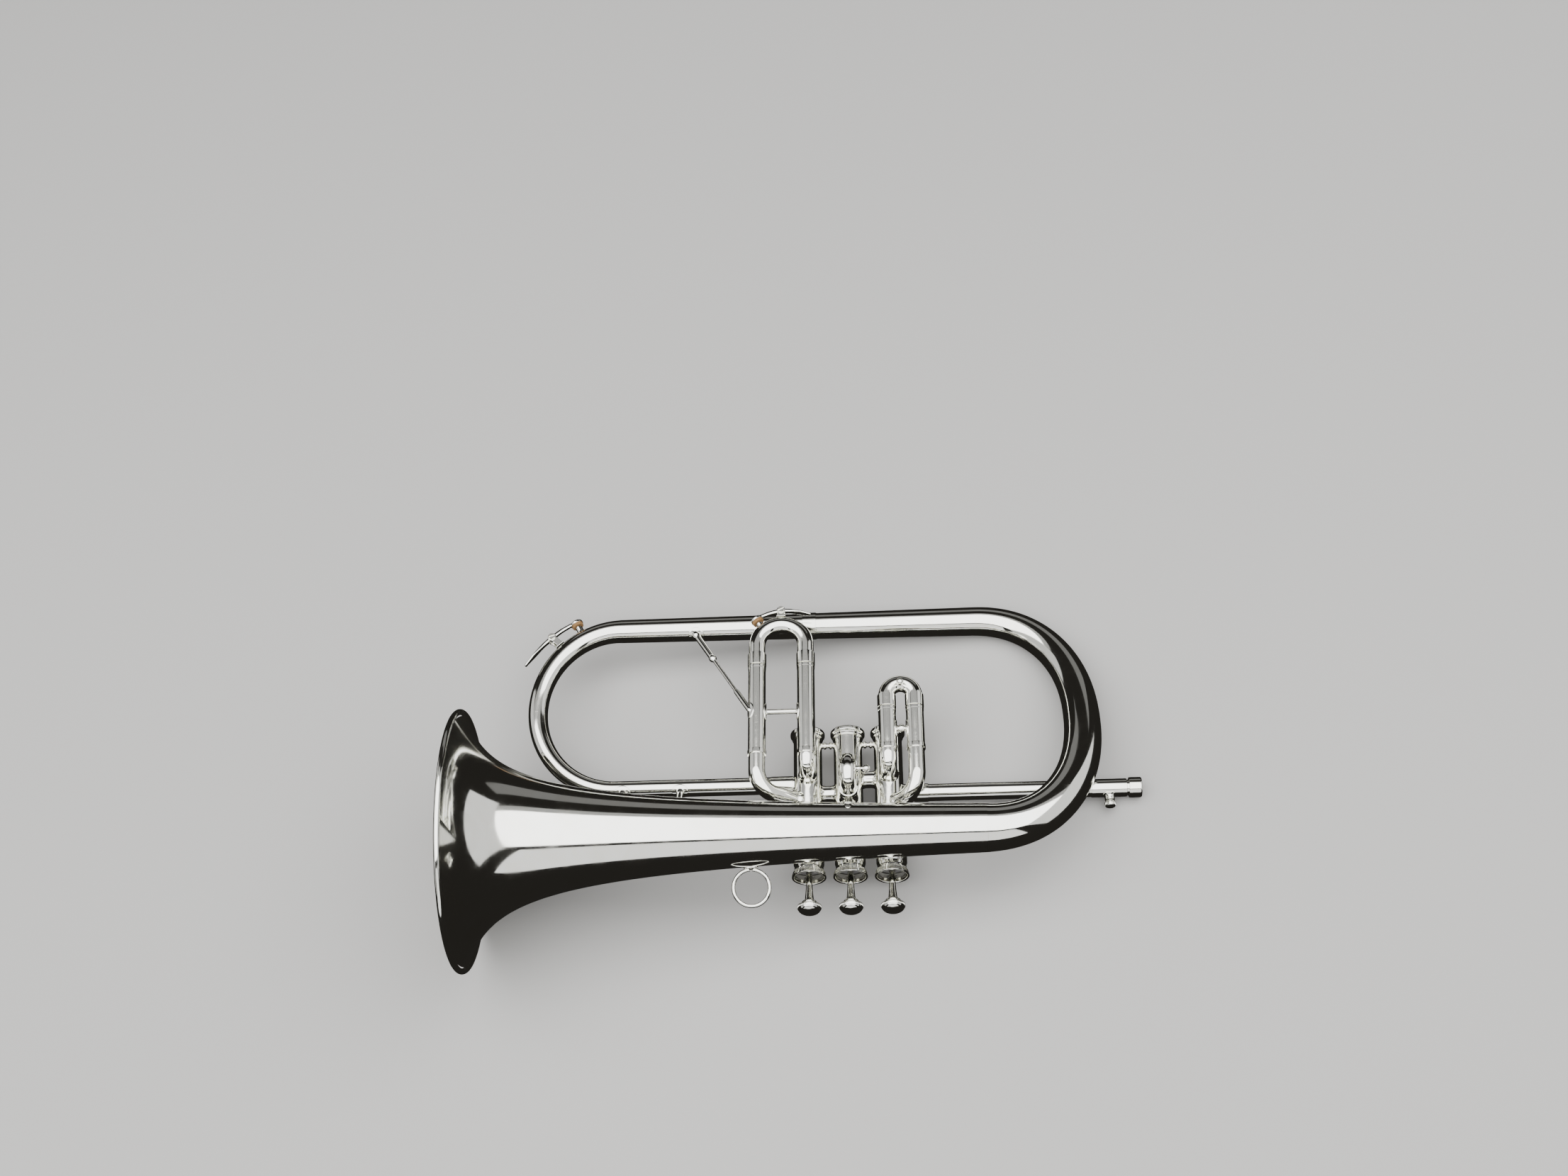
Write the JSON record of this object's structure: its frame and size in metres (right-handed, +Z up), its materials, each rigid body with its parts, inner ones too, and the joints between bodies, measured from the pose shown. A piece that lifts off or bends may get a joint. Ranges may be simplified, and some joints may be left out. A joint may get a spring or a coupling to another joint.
{
  "type": "flugelhorn",
  "caption": "Silver-plated flugelhorn with piston valves, pull slides, water keys and a sliding mouthpipe, lying on its side.",
  "frame": {"origin": "on the surface that the horn lies on, below the middle of its bounding box", "axes": "+X along the lying horn towards the mouthpiece, +Y across it from the bell to the lower tube, +Z up"},
  "size_m": [0.4216, 0.2574, 0.1594],
  "materials": {
    "silver_plate": "polished",
    "felt": "matte",
    "cork": "matte",
    "spring": "satin"
  },
  "bodies": {
    "horn": {"bell": "silver_plate", "bell_rim": "silver_plate", "rear_bow": "silver_plate", "lower_branch": "silver_plate", "lower_tube": "silver_plate", "front_bow": "silver_plate", "exit_tube": "silver_plate", "tube_ferrules": "silver_plate", "valve_casing_1": "silver_plate", "valve_casing_2": "silver_plate", "valve_casing_3": "silver_plate", "bottom_caps": "silver_plate", "top_caps": "silver_plate", "cap_felts": "felt", "valve_spring_1": "spring", "valve_spring_2": "spring", "valve_spring_3": "spring", "valve_knuckles": "silver_plate", "casing_braces": "silver_plate", "third_slide_sleeves": "silver_plate", "third_slide_stay": "silver_plate", "first_slide_sleeves": "silver_plate", "first_slide_stay": "silver_plate", "second_slide_sleeves": "silver_plate", "leadpipe": "silver_plate", "diagonal_brace": "silver_plate", "bell_stays": "silver_plate", "valve_stay": "silver_plate", "little_finger_ring": "silver_plate", "leadpipe_stay": "silver_plate", "front_key_saddle": "silver_plate", "front_key_pin": "silver_plate"},
    "third_slide": {"third_slide_bow": "silver_plate", "third_slide_tubes": "silver_plate", "third_key_saddle": "silver_plate", "third_key_pin": "silver_plate"},
    "third_key": {"third_key_lever": "silver_plate", "third_key_cork": "cork"},
    "front_key": {"front_key_lever": "silver_plate", "front_key_cork": "cork"},
    "first_slide": {"first_slide_bow": "silver_plate", "first_slide_tubes": "silver_plate", "first_slide_knob": "silver_plate"},
    "second_slide": {"second_slide_bow": "silver_plate", "second_slide_tubes": "silver_plate", "second_slide_knob": "silver_plate"},
    "mouthpipe": {"mouthpipe": "silver_plate"},
    "lock_screw": {"lock_screw": "silver_plate"},
    "valve_1": {"piston_1": "silver_plate", "piston_felt_1": "felt", "valve_stem_1": "silver_plate", "finger_button_1": "silver_plate"},
    "valve_2": {"piston_2": "silver_plate", "piston_felt_2": "felt", "valve_stem_2": "silver_plate", "finger_button_2": "silver_plate"},
    "valve_3": {"piston_3": "silver_plate", "piston_felt_3": "felt", "valve_stem_3": "silver_plate", "finger_button_3": "silver_plate"}
  },
  "joints": [
    {"name": "valve_1_press", "type": "slide", "parent": "horn", "child": "valve_1", "axis": [-0.0027, 0.9995, -0.0325], "range_m": [0, 0.0165], "stiffness_N_per_m": 80, "springref_m": -0.02, "deforming": ["valve_spring_1"]},
    {"name": "valve_2_press", "type": "slide", "parent": "horn", "child": "valve_2", "axis": [-0.0027, 0.9995, -0.0325], "range_m": [0, 0.0165], "stiffness_N_per_m": 80, "springref_m": -0.02, "deforming": ["valve_spring_2"]},
    {"name": "valve_3_press", "type": "slide", "parent": "horn", "child": "valve_3", "axis": [-0.0027, 0.9995, -0.0325], "range_m": [0, 0.0165], "stiffness_N_per_m": 80, "springref_m": -0.02, "deforming": ["valve_spring_3"]},
    {"name": "third_slide_pull", "type": "slide", "parent": "horn", "child": "third_slide", "axis": [-0.0027, 0.9995, -0.0325], "range_m": [0, 0.045]},
    {"name": "first_slide_pull", "type": "slide", "parent": "horn", "child": "first_slide", "axis": [-0.0027, 0.9995, -0.0325], "range_m": [0, 0.018]},
    {"name": "second_slide_pull", "type": "slide", "parent": "horn", "child": "second_slide", "axis": [0.084, 0.0326, 0.9959], "range_m": [0, 0.005]},
    {"name": "mouthpipe_pull", "type": "slide", "parent": "horn", "child": "mouthpipe", "axis": [0.9965, 0, -0.0841], "range_m": [0, 0.02]},
    {"name": "lock_screw_turn", "type": "hinge", "parent": "horn", "child": "lock_screw", "pos_m": [0.19001, -0.00603, 0.00809], "axis": [-0.0027, 0.9995, -0.0325], "range_deg": [0, 360]},
    {"name": "third_key_press", "type": "hinge", "parent": "third_slide", "child": "third_key", "pos_m": [-0.0114, 0.11755, 0.04262], "axis": [-0.084, -0.0326, -0.9959], "range_deg": [0, 15], "stiffness_Nm_per_rad": 0.05, "springref_deg": -20.05},
    {"name": "front_key_press", "type": "hinge", "parent": "horn", "child": "front_key", "pos_m": [-0.16527, 0.11454, 0.03411], "axis": [0.084, 0.0326, 0.9959], "range_deg": [0, 15], "stiffness_Nm_per_rad": 0.05, "springref_deg": -20.05}
  ]
}
